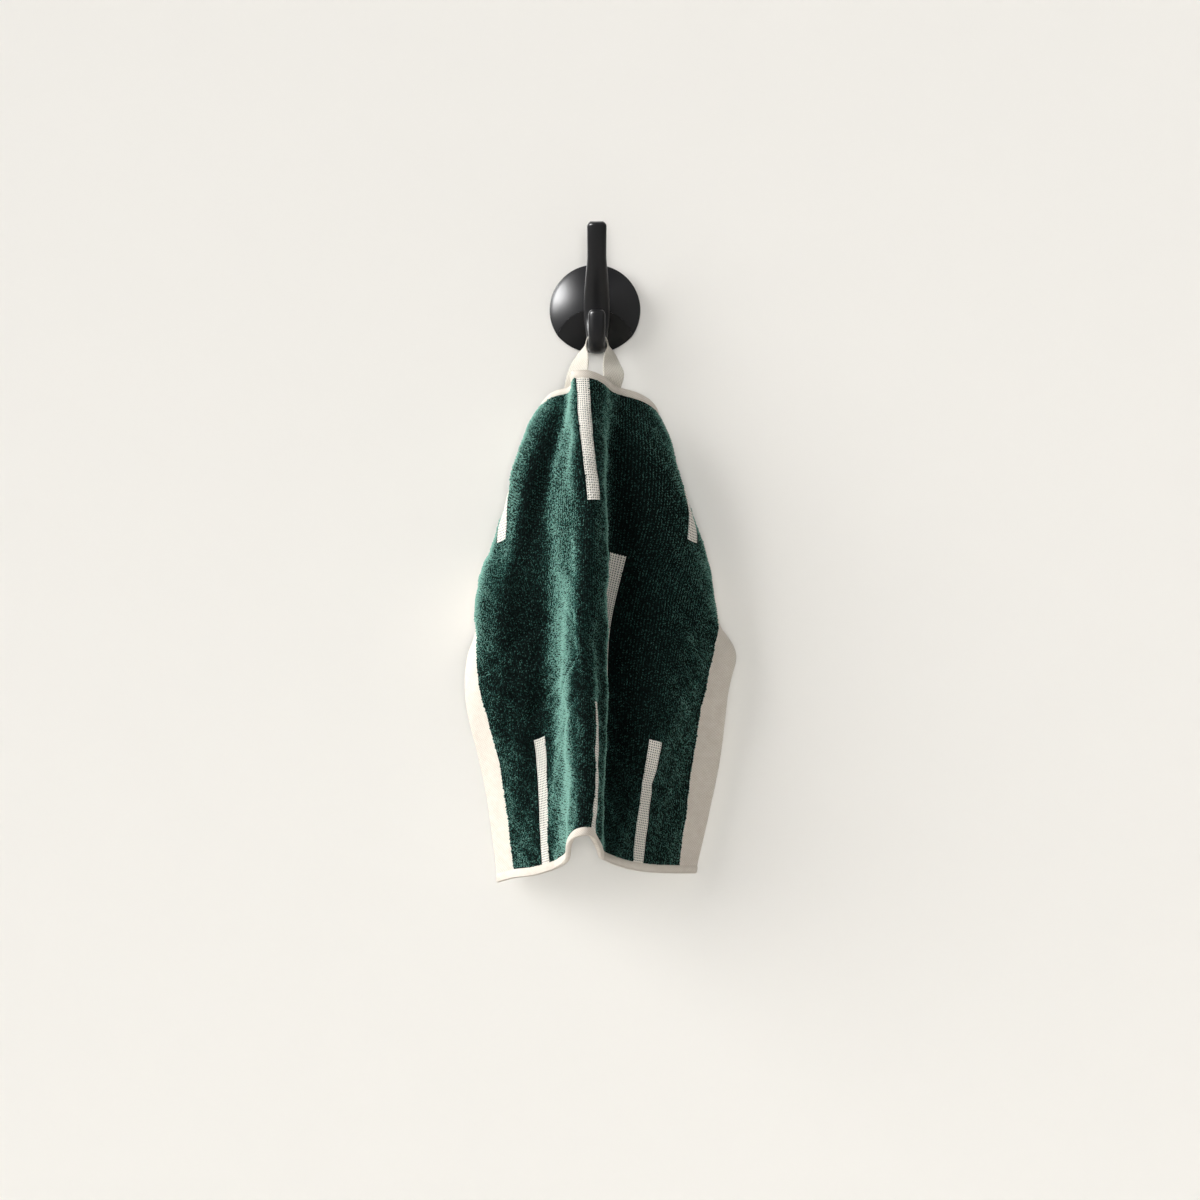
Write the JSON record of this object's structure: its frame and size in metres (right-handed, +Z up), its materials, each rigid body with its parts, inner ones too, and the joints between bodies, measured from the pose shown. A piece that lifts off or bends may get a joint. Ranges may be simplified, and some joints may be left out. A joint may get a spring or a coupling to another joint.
{
  "type": "towel on a wall hook",
  "caption": "Small terry face towel with flat-woven side borders and short bars, hanging by its tape in folds from a round-plate wall hook with a long upper and a short lower prong.",
  "frame": {"origin": "middle of the flat back of the hook's round wall plate, on the wall", "axes": "+Z up, +Y into the wall, so the towel hangs towards -Z and stands out towards -Y; X runs along the wall"},
  "size_m": [0.1788, 0.0855, 0.433],
  "materials": {
    "black_metal": "satin black coating on a smooth casting",
    "green_terry": "dark green looped terry with cream flat-woven borders, hems and bars",
    "cream_weave": "off-white flat woven cotton"
  },
  "bodies": {
    "root": {"wall_hook": "black_metal", "towel": "green_terry", "hanging_tape": "cream_weave"}
  },
  "joints": []
}
